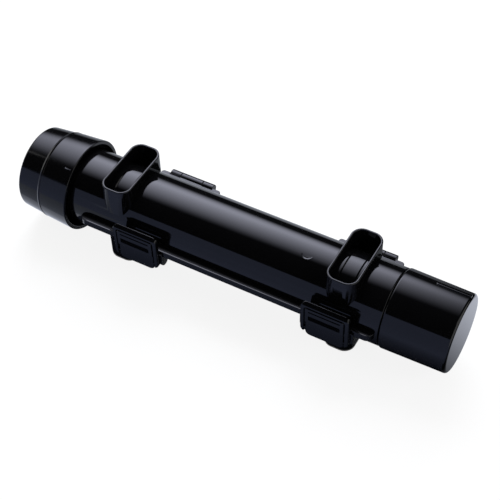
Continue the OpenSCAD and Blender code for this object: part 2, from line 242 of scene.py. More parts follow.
class Shape:
    """A closed mesh in the making, in millimetres about the tube's axis."""

    def __init__(self) -> None:
        """Starts with nothing."""
        self.bm = bmesh.new()

    # -- starts

    @classmethod
    def revolved(cls, profile: Sequence[Corner], steps: int = 192) -> "Shape":
        """Spins a profile about the tube's axis.

        Args:
            profile: Radius, place along the tube and rounding of each corner.
            steps: Facets round the axis.

        Returns:
            The turned solid.
        """
        shape = cls()
        dots = [shape.bm.verts.new((x, 0.0, r)) for r, x in rounded(profile, 15.0)]
        pairs = zip(dots, dots[1:] + dots[:1])
        wires = [shape.bm.edges.new(p) for p in pairs if max(p[0].co.z, p[1].co.z) > TINY]
        bmesh.ops.spin(
            shape.bm,
            geom=dots + wires,
            cent=(0.0, 0.0, 0.0),
            axis=(1.0, 0.0, 0.0),
            angle=FULL_TURN,
            steps=steps,
            use_merge=True,
        )
        return shape.mended()

    @classmethod
    def rod(cls, radius: float, xs: Span, y: float = 0.0, z: float = 0.0, edge: float = 0.0) -> "Shape":
        """Makes a rod along the tube.

        Args:
            radius: The rod's radius.
            xs: Its two ends.
            y: Place across the tube.
            z: Height above the seam.
            edge: Rounding of the ends.

        Returns:
            The rod.
        """
        profile = [(0.0, xs[0], 0.0), (radius, xs[0], edge), (radius, xs[1], edge), (0.0, xs[1], 0.0)]
        return cls.revolved(profile, 64).moved(0.0, y, z)

    @classmethod
    def extruded(cls, outline: Sequence[Point], plane: Plane, span: Span) -> "Shape":
        """Extrudes an outline.

        Args:
            outline: The outline's points.
            plane: The plane it is drawn in.
            span: Start and end of the extrusion.

        Returns:
            The solid.
        """
        shape = cls()
        face = bmesh.ops.contextual_create(shape.bm, geom=shape._loop(outline, plane, span[0]))["faces"]
        return shape._grown(face, plane, span)

    @classmethod
    def ring(cls, outer: Sequence[Point], inner: Sequence[Point], plane: Plane, span: Span) -> "Shape":
        """Extrudes the ring between two outlines that have the same number of points.

        Args:
            outer: Points of the outer outline.
            inner: Points of the inner outline.
            plane: The plane they are drawn in.
            span: Start and end of the extrusion.

        Returns:
            The solid.
        """
        shape = cls()
        wires = shape._loop(outer, plane, span[0]) + shape._loop(inner, plane, span[0])
        faces = bmesh.ops.bridge_loops(shape.bm, edges=wires)["faces"]
        return shape._grown(faces, plane, span)

    @classmethod
    def block(cls, xs: Span, ys: Span, zs: Span) -> "Shape":
        """Makes a plain block between two opposite corners."""
        shape = cls()
        bmesh.ops.create_cube(shape.bm, size=1.0)
        size = (xs[1] - xs[0], ys[1] - ys[0], zs[1] - zs[0])
        bmesh.ops.scale(shape.bm, vec=size, verts=shape.bm.verts)
        return shape.moved(sum(xs) / 2.0, sum(ys) / 2.0, sum(zs) / 2.0)

    def _loop(self, outline: Sequence[Point], plane: Plane, depth: float) -> list[bmesh.types.BMEdge]:
        """Draws a closed outline at a depth and returns its edges."""
        dots = [self.bm.verts.new(plane.at(u, v, depth)) for u, v in outline]
        return [self.bm.edges.new(pair) for pair in zip(dots, dots[1:] + dots[:1])]

    def _grown(self, faces: Sequence[bmesh.types.BMFace], plane: Plane, span: Span) -> "Shape":
        """Extrudes flat faces along their plane's way and returns the shape."""
        geom = bmesh.ops.extrude_face_region(self.bm, geom=list(faces))["geom"]
        far = [item for item in geom if isinstance(item, bmesh.types.BMVert)]
        bmesh.ops.translate(self.bm, vec=plane.at(0.0, 0.0, span[1] - span[0]), verts=far)
        return self.mended()

    # -- changes

    def mended(self) -> "Shape":
        """Merges doubles, drops degenerate faces and turns the faces outwards."""
        bmesh.ops.remove_doubles(self.bm, verts=self.bm.verts, dist=TINY)
        bmesh.ops.dissolve_degenerate(self.bm, edges=self.bm.edges, dist=TINY)
        bmesh.ops.recalc_face_normals(self.bm, faces=self.bm.faces)
        return self

    def moved(self, x: float = 0.0, y: float = 0.0, z: float = 0.0) -> "Shape":
        """Shifts the shape."""
        bmesh.ops.translate(self.bm, vec=(x, y, z), verts=self.bm.verts)
        return self

    def turned(self, angle: float) -> "Shape":
        """Turns the shape about the tube's axis by an angle in degrees."""
        turn = Matrix.Rotation(math.radians(angle), 3, "X")
        bmesh.ops.rotate(self.bm, cent=(0.0, 0.0, 0.0), matrix=turn, verts=self.bm.verts)
        return self

    def upended(self) -> "Shape":
        """Turns what lay along the tube so that it stands upright."""
        turn = Matrix.Rotation(-math.pi / 2.0, 3, "Y")
        bmesh.ops.rotate(self.bm, cent=(0.0, 0.0, 0.0), matrix=turn, verts=self.bm.verts)
        return self

    def upside_down(self) -> "Shape":
        """Mirrors the shape in the plane of the seam."""
        bmesh.ops.scale(self.bm, vec=(1.0, 1.0, -1.0), verts=self.bm.verts)
        bmesh.ops.recalc_face_normals(self.bm, faces=self.bm.faces)
        return self

    def eased(self, width: float, chosen: Callable[[Vector], bool], segments: int = 3) -> "Shape":
        """Rounds the sharp edges whose two ends are chosen.

        Args:
            width: Width of the rounding.
            chosen: Test of a point on the shape.
            segments: Facets of the rounding.

        Returns:
            The same shape.
        """
        edges = [
            edge
            for edge in self.bm.edges
            if edge.is_manifold
            and edge.calc_face_angle() > SHARP_ANGLE
            and all(chosen(vert.co) for vert in edge.verts)
        ]
        bmesh.ops.bevel(
            self.bm,
            geom=edges,
            offset=width,
            offset_type="OFFSET",
            segments=segments,
            profile=0.5,
            affect="EDGES",
            material=-1,
        )
        return self

    def joined(self, *others: "Shape") -> "Shape":
        """Returns this shape joined with others."""
        return self._carved(others, Carving.JOIN)

    def cut(self, *tools: "Shape") -> "Shape":
        """Returns this shape with others cut out of it."""
        return self._carved(tools, Carving.CUT)

    def _carved(self, tools: Sequence["Shape"], carving: Carving) -> "Shape":
        """Joins or cuts with each tool in turn.

        Args:
            tools: The other shapes, which are used up.
            carving: What each does.

        Returns:
            A new shape.
        """
        block = self._rough("block")
        helpers = [tool._rough("tool") for tool in tools]
        for helper in helpers:
            step = block.modifiers.new("carving", "BOOLEAN")
            step.solver = "EXACT"
            step.operation = carving.value
            step.object = helper
        bpy.context.view_layer.update()
        result = Shape()
        result.bm.from_mesh(block.evaluated_get(bpy.context.evaluated_depsgraph_get()).data)
        for rough in (block, *helpers):
            bpy.data.meshes.remove(rough.data)
        return result.mended()

    def _rough(self, name: str) -> bpy.types.Object:
        """Uses the shape up and returns it as a plain object."""
        mesh = bpy.data.meshes.new(name)
        self.bm.to_mesh(mesh)
        self.bm.free()
        rough = bpy.data.objects.new(name, mesh)
        bpy.context.scene.collection.objects.link(rough)
        return rough

    def piece(self, name: str, layout: Layout) -> bpy.types.Object:
        """Turns the shape into a finished piece in the frame.

        Args:
            name: The piece's name.
            layout: Gives the way from millimetres about the axis to the frame.

        Returns:
            The piece, smooth with its sharp edges marked.
        """
        bmesh.ops.transform(self.bm, matrix=layout.to_frame(), verts=self.bm.verts)
        piece = self._rough(name)
        piece.data.polygons.foreach_set("use_smooth", [True] * len(piece.data.polygons))
        piece.data.set_sharp_from_angle(angle=SHARP_ANGLE)
        shading = piece.modifiers.new("shading", "WEIGHTED_NORMAL")
        shading.mode = "FACE_AREA"
        shading.keep_sharp = True
        return piece


# ----------------------------------------------------------------------------- finishes


class NodeTree:
    """Short calls for one node tree."""

    def __init__(self, owner: bpy.types.Material | bpy.types.World, output: str = "ShaderNodeOutputMaterial") -> None:
        """Starts an empty tree with an output.

        Args:
            owner: The material or world whose nodes are made.
            output: Type name of the output node.
        """
        owner.use_nodes = True
        self.tree = owner.node_tree
        self.tree.nodes.clear()
        self.output = self.add(output)

    def add(self, kind: str, **sockets: object) -> bpy.types.Node:
        """Adds a node and sets its inputs.

        Args:
            kind: The node's type name.
            **sockets: Input values by socket name, with underscores for spaces.

        Returns:
            The new node.
        """
        node = self.tree.nodes.new(kind)
        for name, value in sockets.items():
            node.inputs[name.replace("_", " ")].default_value = value
        return node

    def link(self, source: bpy.types.NodeSocket, target: bpy.types.NodeSocket) -> None:
        """Links an output socket to an input socket."""
        self.tree.links.new(source, target)

    def noise(self, scale: float, detail: float, stretch: Sequence[float] = (1.0, 1.0, 1.0)) -> bpy.types.NodeSocket:
        """Adds noise on Object coordinates.

        Args:
            scale: Features per metre.
            detail: Octaves.
            stretch: Scale along each axis before the noise.

        Returns:
            The noise's factor socket.
        """
        where = self.add("ShaderNodeTexCoord")
        spread = self.add("ShaderNodeMapping", Scale=tuple(stretch))
        noise = self.add("ShaderNodeTexNoise", Scale=scale, Detail=detail, Roughness=0.55)
        self.link(where.outputs["Object"], spread.inputs["Vector"])
        self.link(spread.outputs["Vector"], noise.inputs["Vector"])
        return noise.outputs["Fac"]

    def ranged(self, factor: bpy.types.NodeSocket, low: float, high: float) -> bpy.types.NodeSocket:
        """Maps a factor's middle range to low..high.

        Args:
            factor: The socket to map.
            low: Result at a factor of 0.3.
            high: Result at a factor of 0.7.

        Returns:
            The mapped socket.
        """
        node = self.add("ShaderNodeMapRange", From_Min=0.3, From_Max=0.7, To_Min=low, To_Max=high)
        self.link(factor, node.inputs["Value"])
        return node.outputs["Result"]

    def shown_to_lenses(self) -> bpy.types.NodeSocket:
        """Returns a factor of 1 on camera, glossy and transmission rays and 0 on the rest."""
        path = self.add("ShaderNodeLightPath")
        factor = path.outputs["Is Camera Ray"]
        for name in ("Is Glossy Ray", "Is Transmission Ray"):
            either = self.add("ShaderNodeMath")
            either.operation = "MAXIMUM"
            self.link(factor, either.inputs[0])
            self.link(path.outputs[name], either.inputs[1])
            factor = either.outputs[0]
        return factor


@dataclass(frozen=True)
class MouldedPlastic:
    """Injection-moulded black plastic: polished skin with slow sink waves and faint handling marks."""

    name: str
    color: tuple[float, float, float]
    roughness: Span = (0.05, 0.09)
    specular: float = 0.4
    wave_height: float = 0.00004
    grain_height: float = 0.000002

    def make(self) -> bpy.types.Material:
        """Returns the finish as a material."""
        material = bpy.data.materials.new(self.name)
        tree = NodeTree(material)
        skin = tree.add(
            "ShaderNodeBsdfPrincipled",
            Base_Color=(*self.color, 1.0),
            IOR=1.5,
            Specular_IOR_Level=self.specular,
        )
        waves = tree.noise(30.0, 1.0, (0.5, 1.0, 1.0))
        grain = tree.noise(1600.0, 3.0)
        handling = tree.noise(120.0, 4.0)
        tree.link(tree.ranged(handling, *self.roughness), skin.inputs["Roughness"])
        slow = tree.add("ShaderNodeBump", Strength=1.0, Distance=self.wave_height)
        fine = tree.add("ShaderNodeBump", Strength=1.0, Distance=self.grain_height)
        tree.link(waves, slow.inputs["Height"])
        tree.link(grain, fine.inputs["Height"])
        tree.link(slow.outputs["Normal"], fine.inputs["Normal"])
        tree.link(fine.outputs["Normal"], skin.inputs["Normal"])
        tree.link(skin.outputs["BSDF"], tree.output.inputs["Surface"])
        return material


@dataclass(frozen=True)
class DrawnSteel:
    """Drawn steel of the pins and the screw, with fine lines along the tube."""

    name: str
    color: tuple[float, float, float] = (0.62, 0.62, 0.64)

    def make(self) -> bpy.types.Material:
        """Returns the finish as a material."""
        material = bpy.data.materials.new(self.name)
        tree = NodeTree(material)
        metal = tree.add("ShaderNodeBsdfPrincipled", Base_Color=(*self.color, 1.0), Metallic=1.0)
        lines = tree.noise(900.0, 2.0, (0.06, 1.0, 1.0))
        tree.link(tree.ranged(lines, 0.22, 0.36), metal.inputs["Roughness"])
        scratch = tree.add("ShaderNodeBump", Strength=0.5, Distance=0.00001)
        tree.link(lines, scratch.inputs["Height"])
        tree.link(scratch.outputs["Normal"], metal.inputs["Normal"])
        tree.link(metal.outputs["BSDF"], tree.output.inputs["Surface"])
        return material


class Finishes:
    """The part's materials, one for each slot of the record."""

    def __init__(self) -> None:
        """Makes every material once."""
        self.by_slot: dict[Slot, bpy.types.Material] = {
            Slot.SHELL: MouldedPlastic("polished_black_plastic", (0.003, 0.003, 0.0035)).make(),
            Slot.LATCH: MouldedPlastic(
                "satin_black_plastic", (0.0015, 0.0015, 0.002), roughness=(0.13, 0.2), specular=0.35, wave_height=0.00001
            ).make(),
            Slot.KNOB: MouldedPlastic(
                "semi_gloss_black_plastic", (0.003, 0.003, 0.0035), roughness=(0.1, 0.15)
            ).make(),
            Slot.PIN: DrawnSteel("drawn_steel").make(),
        }

    def dress(self, piece: bpy.types.Object, slot: Slot) -> None:
        """Gives a piece the finish of a slot.

        Args:
            piece: The mesh object.
            slot: The record's slot.
        """
        piece.data.materials.clear()
        piece.data.materials.append(self.by_slot[slot])


@dataclass(frozen=True)
class Bench:
    """Where finished pieces are dressed and put on their bodies."""

    layout: Layout
    finishes: Finishes

    def deliver(self, shape: Shape, name: str, node: str, body: Body, slot: Slot) -> bpy.types.Object:
        """Finishes a piece, dresses it and lets it ride its body in the place of its CAD node.

        Args:
            shape: The finished shape, in millimetres about the axis.
            name: The piece's name.
            node: The CAD node it stands for.
            body: The body it moves with.
            slot: The record's slot.

        Returns:
            The piece.
        """
        piece = shape.piece(name, self.layout)
        self.finishes.dress(piece, slot)
        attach(piece, body.value)
        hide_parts(node)
        LOG.info("%s: %d faces, on %s", name, len(piece.data.polygons), body.value)
        return piece


# ----------------------------------------------------------------------------- sub-assemblies


@dataclass(frozen=True)
class HalfShells:
    """The two half tubes with their flanges, feet, hinge knuckles and latch ears."""

    layout: Layout
    flange_start: float = 10.8
    flange_stop: float = 2.4
    flange_r: float = 5.0
    tab_len: float = 46.0
    tab_w: float = 3.4
    tab_r: float = 2.0
    foot_h: float = 33.0
    foot_l: float = 47.0
    foot_w: float = 21.2
    foot_r: float = 7.7
    foot_wall: float = 1.6
    hinge_len: float = 33.0
    hinge_r: float = 3.5
    hinge_bore_r: float = 1.55
    latch_bore_r: float = 1.3
    gate_x: float = 53.0124
    gate_angle: float = 13.0
    gate_r: float = 4.05
    gate_w: float = 0.9
    gate_lip: float = 0.26
    gate_depth: float = 0.1
    core_line_x: float = 5.2
    core_line_w: float = 1.1
    core_line_depth: float = 0.5
    core_line_z: float = 17.4

    def _tube(self, start_x: float) -> Shape:
        """Solid tube from a start to the end of the shells, its end edges eased."""
        place = self.layout
        profile = [
            (0.0, start_x, 0.0),
            (place.tube_r, start_x, 0.35),
            (place.tube_r, place.shell_end, 0.9),
            (0.0, place.shell_end, 0.0),
        ]
        return Shape.revolved(profile, 256)

    def _flanges(self) -> Shape:
        """Both flanges and the widened tabs at the hinges, as one plate."""
        place = self.layout
        x0, x1 = place.rim_x + self.flange_start, place.mouth_x - self.flange_stop
        out, tab_out = place.flange_out, place.flange_out + self.tab_w
        corners = [(x0, -out, self.flange_r), (x1, -out, self.flange_r), (x1, out, self.flange_r)]
        for x in reversed(place.hinge_xs):
            left, right = x - self.tab_len / 2.0, x + self.tab_len / 2.0
            corners += [(right, out, 0.8), (right, tab_out, self.tab_r), (left, tab_out, self.tab_r), (left, out, 0.8)]
        corners.append((x0, out, self.flange_r))
        plate = Shape.extruded(rounded(corners), Plane.PLAN, (0.0, place.flange_t))
        plate.eased(0.4, lambda p: p.z > place.flange_t - TINY)
        return plate.eased(0.12, lambda p: p.z < TINY, 2)

    def _foot(self, x: float) -> Shape:
        """One racetrack foot with a rounded rim."""
        half_w, half_l, wall = self.foot_w / 2.0, self.foot_l / 2.0, self.foot_wall
        outer = rounded_box((-half_w, half_w), (-half_l, half_l), self.foot_r, 6.0)
        inner = rounded_box((wall - half_w, half_w - wall), (wall - half_l, half_l - wall), self.foot_r - wall, 6.0)
        foot = Shape.ring(outer, inner, Plane.PLAN, (6.0, self.foot_h))
        return foot.eased(0.6, lambda p: p.z > self.foot_h - TINY).moved(x)

    def _knuckles(self, spans: Sequence[Span], grow: float = 0.0) -> list[Shape]:
        """Barrels of the hinges, or the reliefs cut for the other shell's barrels.

        Args:
            spans: Stretches along the tube.
            grow: Clearance added all round.

        Returns:
            One rod for each stretch.
        """
        edge = 0.3 if grow == 0.0 else 0.0
        return [
            Shape.rod(self.hinge_r + grow, (span[0] - grow, span[1] + grow), self.layout.hinge_y, 0.0, edge)
            for span in spans
        ]

    def _middle_spans(self) -> list[Span]:
        """Middle stretch of each hinge, on the upper shell."""
        quarter = self.hinge_len / 4.0
        return [(x - quarter, x + quarter) for x in self.layout.hinge_xs]

    def _end_spans(self) -> list[Span]:
        """End stretches of each hinge, on the lower shell."""
        inner, outer = self.hinge_len / 4.0 + self.layout.gap, self.hinge_len / 2.0
        spans: list[Span] = []
        for x in self.layout.hinge_xs:
            spans += [(x - outer, x - inner), (x + inner, x + outer)]
        return spans

    def _ears(self, x: float) -> list[Shape]:
        """The two ears that carry one latch, drawn above the seam before the shell is turned over."""
        place = self.layout
        edge_y, pivot_z, r = -place.ear_out, -place.pivot_z, place.pivot_r
        outline = rounded(
            [(edge_y, 0.0, 0.0), (1.1 - place.bore_r, 0.0, 0.0), (1.1 - place.bore_r, pivot_z, 0.0),
             (place.pivot_y + r, pivot_z, 0.0), (place.pivot_y + r, pivot_z + r, r - 0.01), (edge_y, pivot_z + r, r - 0.01)]
        )
        ears = []
        for side in (-1.0, 1.0):
            inner, outer = sorted((side * (place.ear_x1 - place.ear_t), side * place.ear_x1))
            ear = Shape.extruded(outline, Plane.SECTION, (x + inner, x + outer))
            ears.append(ear.eased(0.3, lambda p: True, 2))
        return ears

    def _half(self, start_x: float, own: Sequence[Span], other: Sequence[Span]) -> Shape:
        """Outside of a half shell above the seam, not yet bored.

        Args:
            start_x: End of the shell at the knob.
            own: Hinge stretches that this shell carries.
            other: Hinge stretches that the other shell carries.

        Returns:
            The half shell, with a closed ring as neck where it starts before the knob's rim.
        """
        place = self.layout
        spare = Shape.block((max(start_x, place.rim_x) - (5.0 if start_x > place.rim_x else 0.0), 200.0), (-40.0, 40.0), (-40.0, 0.0))
        body = self._tube(start_x).cut(spare)
        body = body.joined(self._flanges(), *[self._foot(x) for x in place.foot_xs])
        return body.cut(*self._knuckles(other, place.gap)).joined(*self._knuckles(own))

    def _bores(self) -> list[Shape]:
        """The tube's bore and the bores of the hinge pins."""
        place = self.layout
        bore = Shape.revolved(
            [(0.0, -160.0, 0.0), (place.bore_r, -160.0, 0.0), (place.bore_r, 160.0, 0.0), (0.0, 160.0, 0.0)], 256
        )
        half = self.hinge_len / 2.0
        pins = [
            Shape.rod(self.hinge_bore_r, (x - half - 1.0, x + half - place.pin_stop), place.hinge_y)
            for x in place.hinge_xs
        ]
        return [bore, *pins]

    def _core_lines(self) -> list[Shape]:
        """Fine lines that the mould's cores left on the tube inside each foot."""
        top, spare = self.layout.tube_r, 0.5
        half = self.core_line_w / 2.0 * (1.0 + spare / self.core_line_depth)
        below = ((-200.0, 200.0), (-40.0, 40.0), (-40.0, self.core_line_z))
        middles = [x + side * self.core_line_x for x in self.layout.foot_xs for side in (-1.0, 1.0)]
        return [
            Shape.revolved(
                [(top + spare, x - half, 0.0), (top - self.core_line_depth, x, 0.0), (top + spare, x + half, 0.0)], 128
            ).cut(Shape.block(*below))
            for x in middles
        ]

    def _gate(self) -> Shape:
        """The small crescent lip that the moulding gate left."""
        top, inner = self.layout.tube_r, self.gate_r - self.gate_w
        lip = Shape.revolved(
            [
                (self.gate_r, top - 1.0, 0.0),
                (self.gate_r, top + self.gate_lip, 0.0),
                (inner, top - self.gate_depth, 0.0),
                (inner, top - 1.0, 0.0),
            ],
            48,
        ).upended()
        back = Shape.block((-9.0, 9.0), (-self.gate_r / 4.0, 9.0), (0.0, 2.0 * top))
        return lip.cut(back).moved(self.gate_x).turned(self.gate_angle)

    def upper(self) -> Shape:
        """The shell that opens, with the gate's lip beside its crown."""
        place = self.layout
        body = self._half(place.rim_x + place.gap, self._middle_spans(), self._end_spans())
        return body.joined(self._gate()).cut(*self._bores(), *self._core_lines())

    def lower(self) -> Shape:
        """The shell that stands on the worktop, with the neck ring and the latches' ears."""
        place = self.layout
        body = self._half(place.rim_x - place.neck_len, self._end_spans(), self._middle_spans())
        body = body.joined(*[ear for x in place.latch_xs for ear in self._ears(x)])
        pins = [
            Shape.rod(
                self.latch_bore_r, (x - place.ear_x1 - 1.0, x + place.ear_x1 - place.pin_stop),
                place.pivot_y, -place.pivot_z,
            )
            for x in place.latch_xs
        ]
        return body.cut(*self._bores(), *self._core_lines(), *pins).upside_down()

    def build(self, bench: Bench) -> None:
        """Builds and delivers both shells."""
        bench.deliver(self.lower(), "lower_half_shell", "lower_shell", Body.BASE, Slot.SHELL)
        bench.deliver(self.upper(), "upper_half_shell", "upper_shell", Body.LID, Slot.SHELL)


@dataclass(frozen=True)
class Pins:
    """Steel pins of the hinges and of the latches."""

    layout: Layout
    hinge_pin_r: float = 1.5
    latch_pin_r: float = 1.25
    hinge_half: float = 16.5
    chamfer: float = 0.25

    def build(self, bench: Bench) -> None:
        """Builds and delivers the four pins."""
        place = self.layout
        for side in Side:
            word = side.name.lower()
            x = place.hinge_xs[side.value]
            hinge = Shape.rod(
                self.hinge_pin_r, (x - self.hinge_half, x + self.hinge_half - place.pin_stop),
                place.hinge_y, 0.0, self.chamfer,
            )
            bench.deliver(hinge, f"hinge_pin_{word}_steel", f"hinge_pin_{word}", Body.BASE, Slot.PIN)
            x = place.latch_xs[side.value]
            latch = Shape.rod(
                self.latch_pin_r, (x - place.ear_x1, x + place.ear_x1 - place.pin_stop),
                place.pivot_y, place.pivot_z, self.chamfer,
            )
            bench.deliver(latch, f"latch_pin_{word}_steel", f"latch_pin_{word}", Body.BASE, Slot.PIN)


@dataclass(frozen=True)
class Latch:
    """A rocker latch: a frame round a slotted panel, a thumb pad, two catches and a barrel."""

    layout: Layout
    side: Side
    width: float = 33.0
    top: float = 15.2
    drop: float = 14.2
    frame_w: float = 2.4
    frame_r: float = 3.6
    frame_back: float = 0.4
    brow_drop: float = 1.25
    groove_w: float = 0.9
    groove_deep: float = 1.8
    groove_drop: float = 9.0
    panel_r: float = 1.6
    pad_back: float = 0.8
    pad_top: float = -1.4
    plate_in: float = 32.3
    plate_out: float = 35.5
    slot_half: float = 10.8
    slot_zs: Span = (1.7, 5.7)
    slit_zs: Span = (8.7, 9.9)
    catch_w: float = 3.0
    catch_h: float = 2.0
    barrel_r: float = 2.5
    bore_r: float = 1.3

    def _plate(self, us: Span, vs: Span, radius: float, back: float, ease: float) -> Shape:
        """A plate of the latch, its front edge rounded.

        Args:
            us: Range along the tube.
            vs: Range of height about the seam.
            radius: Corner radius.
            back: How far the front lies behind the panel's front.
            ease: Rounding of the front edge.

        Returns:
            The plate.
        """
        front = self.plate_out - back
        plate = Shape.extruded(rounded_box(us, vs, radius), Plane.FRONT, (self.plate_in, front))
        return plate.eased(ease, lambda p: p.y < TINY - front)

    def _through(self, vs: Span, radius: float) -> Shape:
        """A slot through the panel at a height, its floor sloping up from the front.

        Args:
            vs: Range of height at the front.
            radius: Corner radius.

        Returns:
            The tool that cuts it.
        """
        outline = rounded_box((-self.slot_half, self.slot_half), vs, radius)
        slot = Shape.extruded(outline, Plane.FRONT, (self.plate_in - 1.0, self.plate_out + 1.0))
        rise = 0.85 * (vs[1] - vs[0])
        back = self.plate_out - rise
        floor = [(-self.plate_out, vs[0]), (-back, vs[0] + rise), (2.0 - self.plate_in, vs[0] + rise),
                 (2.0 - self.plate_in, vs[0] - 1.0), (-self.plate_out, vs[0] - 1.0)]
        return slot.cut(Shape.extruded(floor, Plane.SECTION, (-self.width, self.width)))

    def shape(self) -> Shape:
        """Returns the latch in its place."""
        place = self.layout
        half = self.width / 2.0
        panel_x = half - self.frame_w - self.groove_w
        panel_top = self.top - self.frame_w - self.groove_w
        reach = place.ear_x1 - place.ear_t - place.gap
        groove = Shape.extruded(
            rounded_box((-panel_x - self.groove_w, panel_x + self.groove_w),
                        (-2.0 * self.drop, panel_top + self.groove_w), self.panel_r + self.groove_w),
            Plane.FRONT, (self.plate_out - self.groove_deep, self.plate_out + 1.0),
        )
        frame_low = 2.6 - self.drop
        frame = self._plate((-half, half), (frame_low, self.top), self.frame_r, self.frame_back, 0.9)
        front = self.frame_back - self.plate_out
        brow = Shape.extruded(
            [(-self.plate_in - 0.4, self.top + TINY), (front, self.top - self.brow_drop), (front - 1.0, self.top - self.brow_drop),
             (front - 1.0, self.top + 1.0), (-self.plate_in - 0.4, self.top + 1.0)],
            Plane.SECTION, (-self.width, self.width),
        )
        frame = frame.cut(groove, brow)
        pad = self._plate((-panel_x, panel_x), (-self.drop, 0.0), self.frame_r, self.pad_back, 0.9)
        panel = self._plate((-panel_x, panel_x), (self.pad_top, panel_top), self.panel_r, 0.0, 0.6)
        bridge = Shape.block(
            (-panel_x - self.groove_w - 1.0, panel_x + self.groove_w + 1.0),
            (self.pad_back - self.plate_out, -self.plate_in),
            (frame_low + self.frame_r, 2.0 - self.groove_drop),
        )
        catch_x = self.slot_half + 0.5 + self.catch_w / 2.0
        catches = [
            Shape.block(
                (side * catch_x - self.catch_w / 2.0, side * catch_x + self.catch_w / 2.0),
                (-self.plate_in - 1.0, -place.flange_out - place.gap),
                (place.flange_t + place.gap, place.flange_t + place.gap + self.catch_h),
            )
            for side in (-1.0, 1.0)
        ]
        barrel = Shape.rod(self.barrel_r, (-reach, reach), place.pivot_y, place.pivot_z)
        web = Shape.block((-reach, reach), (-self.plate_in - 1.0, place.pivot_y),
                          (place.pivot_z - self.barrel_r, place.pivot_z + self.barrel_r))
        body = frame.joined(pad, panel, bridge, barrel, web, *catches)
        bore = Shape.rod(self.bore_r, (-self.width, self.width), place.pivot_y, place.pivot_z)
        body = body.cut(self._through(self.slot_zs, 0.8), self._through(self.slit_zs, 0.5), bore)
        return body.moved(place.latch_xs[self.side.value])

    def build(self, bench: Bench) -> None:
        """Builds and delivers the latch."""
        word = self.side.name.lower()
        body = (Body.LEFT_LATCH, Body.RIGHT_LATCH)[self.side.value]
        bench.deliver(self.shape(), f"rocker_latch_{word}", f"latch_{word}", body, Slot.LATCH)


@dataclass(frozen=True)
class EndCap:
    """The plug-in cap with its two grip ribs."""

    layout: Layout
    mouth_r: float = 26.6
    end_r: float = 26.0
    wall: float = 2.4
    edge_r: float = 2.0
    mouth_edge_r: float = 1.2
    plug_len: float = 14.0
    plug_r: float = 23.5
    plug_wall: float = 2.2
    grip_len: float = 24.0
    grip_w: float = 3.4
    grip_h: float = 0.9
    grip_angle: float = 66.0

    def _cup(self) -> Shape:
        """The turned cup and its plug."""
        place = self.layout
        mouth, end, plug = place.mouth_x, place.end_x, place.shell_end - self.plug_len
        inner = self.plug_r - self.plug_wall
        return Shape.revolved(
            [
                (0.0, end, 0.0),
                (self.end_r, end, self.edge_r),
                (self.mouth_r, mouth, self.mouth_edge_r),
                (self.plug_r, mouth, 0.0),
                (self.plug_r, plug, 0.5),
                (inner, plug, 0.3),
                (inner, mouth + self.wall, 0.0),
                (self.mouth_r - self.wall, mouth + self.wall, 0.5),
                (self.end_r - self.wall, end - self.wall, 1.0),
                (0.0, end - self.wall, 0.0),
            ],
            256,
        )

    def _grip(self) -> Shape:
        """One raised rib, its round end towards the mouth."""
        end = self.layout.end_x
        half = self.grip_w / 2.0
        x0, x1 = end - self.grip_len, end - self.edge_r / 2.0
        outline = rounded([(x0, -half, half - 0.01), (x1, -half, 0.0), (x1, half, 0.0), (x0, half, half - 0.01)])
        top = self.end_r + self.grip_h
        rib = Shape.extruded(outline, Plane.PLAN, (self.end_r - 1.2, top))
        return rib.eased(0.7, lambda p: p.z > top - TINY, 4)

    def build(self, bench: Bench) -> None:
        """Builds and delivers the cap."""
        grips = [self._grip().turned(self.grip_angle - 90.0 + turn) for turn in (0.0, 180.0)]
        bench.deliver(self._cup().joined(*grips), "plug_in_end_cap", "end_cap", Body.CAP, Slot.SHELL)


